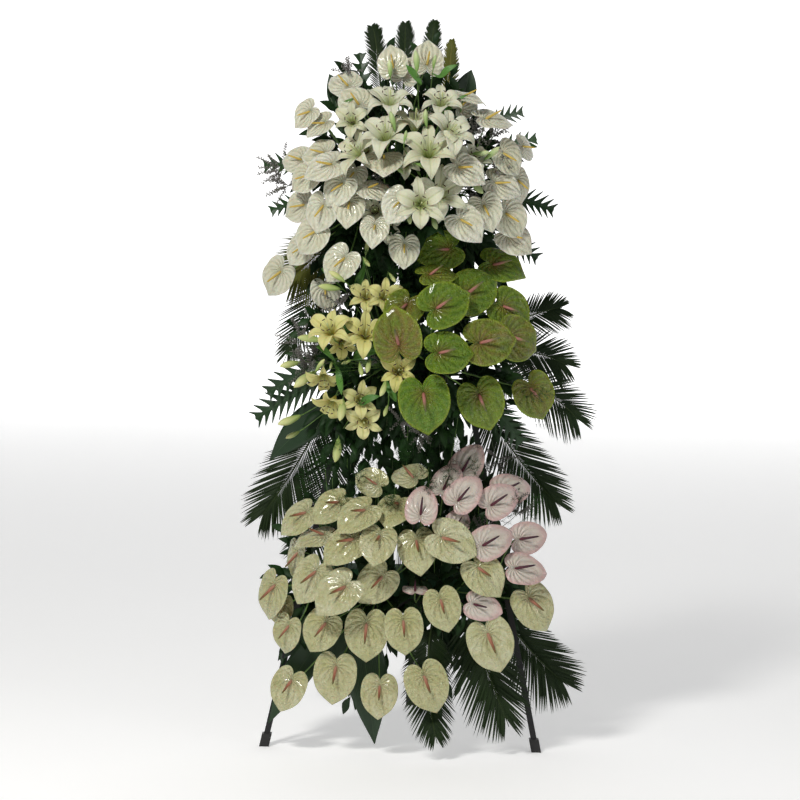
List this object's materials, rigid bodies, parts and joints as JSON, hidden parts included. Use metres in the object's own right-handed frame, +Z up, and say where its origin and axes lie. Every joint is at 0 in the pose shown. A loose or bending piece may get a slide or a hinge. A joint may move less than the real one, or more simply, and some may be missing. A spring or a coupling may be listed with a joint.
{
  "type": "funeral wreath",
  "caption": "Standing funeral spray: tiers of anthuriums and lilies with palm fronds, stemmed into foam trays on a slim three-legged easel that shows them to the front",
  "frame": {"origin": "on the floor under the centre of the spray's bounding box", "axes": "+Z up along the height, -Y towards the viewer, whom the blooms face, +X to the viewer's right"},
  "size_m": [0.9694, 0.8922, 1.9387],
  "materials": {
    "black_steel": "satin",
    "black_plastic": "matt",
    "wet_foam": "matt",
    "white_spathe": "glossy",
    "green_spathe": "glossy",
    "cream_spathe": "glossy",
    "blush_spathe": "glossy",
    "white_lily": "satin",
    "yellow_lily": "satin",
    "palm": "satin",
    "leaf": "satin"
  },
  "bodies": {
    "root": {"apex_plate": "black_steel", "blush_right": "blush_spathe", "blush_upper": "blush_spathe", "cream_left": "cream_spathe", "cream_low": "cream_spathe", "cream_middle": "cream_spathe", "cream_right": "cream_spathe", "cream_upper": "cream_spathe", "foam_low": "wet_foam", "foam_middle": "wet_foam", "foam_top": "wet_foam", "foot_cap_front_left": "black_plastic", "foot_cap_front_right": "black_plastic", "foot_cap_rear": "black_plastic", "frond_left_1": "palm", "frond_left_2": "palm", "frond_left_3": "palm", "frond_left_4": "palm", "frond_low_1": "palm", "frond_low_2": "palm", "frond_right_1": "palm", "frond_right_2": "palm", "frond_right_3": "palm", "frond_right_4": "palm", "frond_right_5": "palm", "frond_top_1": "palm", "frond_top_2": "palm", "frond_top_3": "palm", "frond_top_4": "palm", "green_centre": "green_spathe", "green_lower": "green_spathe", "green_upper": "green_spathe", "leaves_low": "leaf", "leaves_middle_left": "leaf", "leaves_middle_right": "leaf", "leaves_top_left": "leaf", "leaves_top_right": "leaf", "leg_front_left": "black_steel", "leg_front_right": "black_steel", "leg_rear": "black_steel", "lily_white_centre": "white_lily", "lily_white_crown": "white_lily", "lily_white_left": "white_lily", "lily_white_low": "white_lily", "lily_white_shade": "white_lily", "lily_yellow_lower": "yellow_lily", "lily_yellow_upper": "yellow_lily", "shelf_low": "black_steel", "shelf_middle": "black_steel", "shelf_top": "black_steel", "tray_low": "black_plastic", "tray_middle": "black_plastic", "tray_top": "black_plastic", "white_crown": "white_spathe", "white_front_left": "white_spathe", "white_front_low": "white_spathe", "white_left_high": "white_spathe", "white_left_low": "white_spathe", "white_right_high": "white_spathe", "white_right_low": "white_spathe"}
  },
  "joints": []
}
